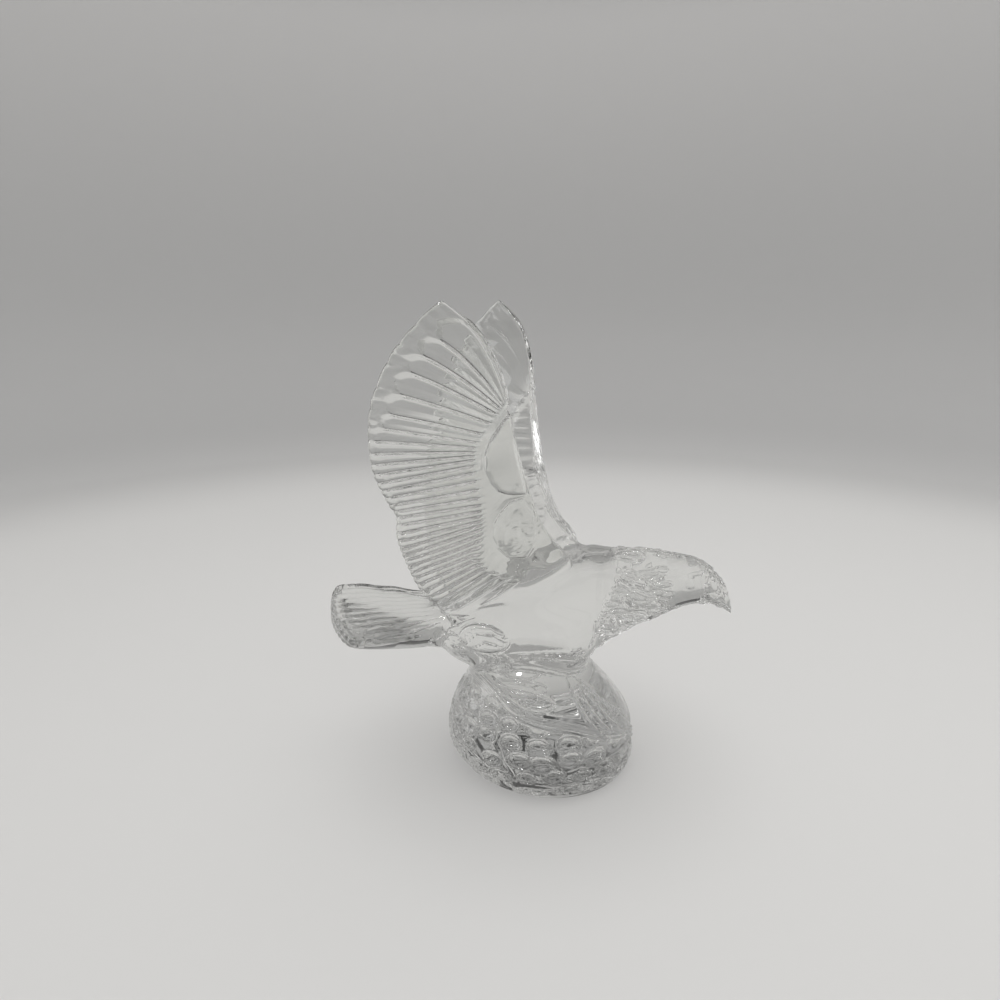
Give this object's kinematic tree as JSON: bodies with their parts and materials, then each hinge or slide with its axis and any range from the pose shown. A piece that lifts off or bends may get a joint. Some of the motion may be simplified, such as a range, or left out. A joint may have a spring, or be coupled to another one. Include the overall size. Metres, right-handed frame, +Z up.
{
  "type": "eagle figurine",
  "caption": "Moulded crystal eagle figurine: wings raised in a V, neck stretched forward, fanned tail, standing on a dimpled rock, all in one piece.",
  "frame": {"origin": "a point in the rock's flat underside, on the eagle's middle plane, below the breast", "axes": "+X towards the beak, +Y towards the eagle's left wing, +Z up"},
  "size_m": [0.1325, 0.082, 0.1553],
  "materials": {
    "crystal": "clear, fire-polished"
  },
  "bodies": {
    "root": {"crystal_eagle": "crystal"}
  },
  "joints": []
}
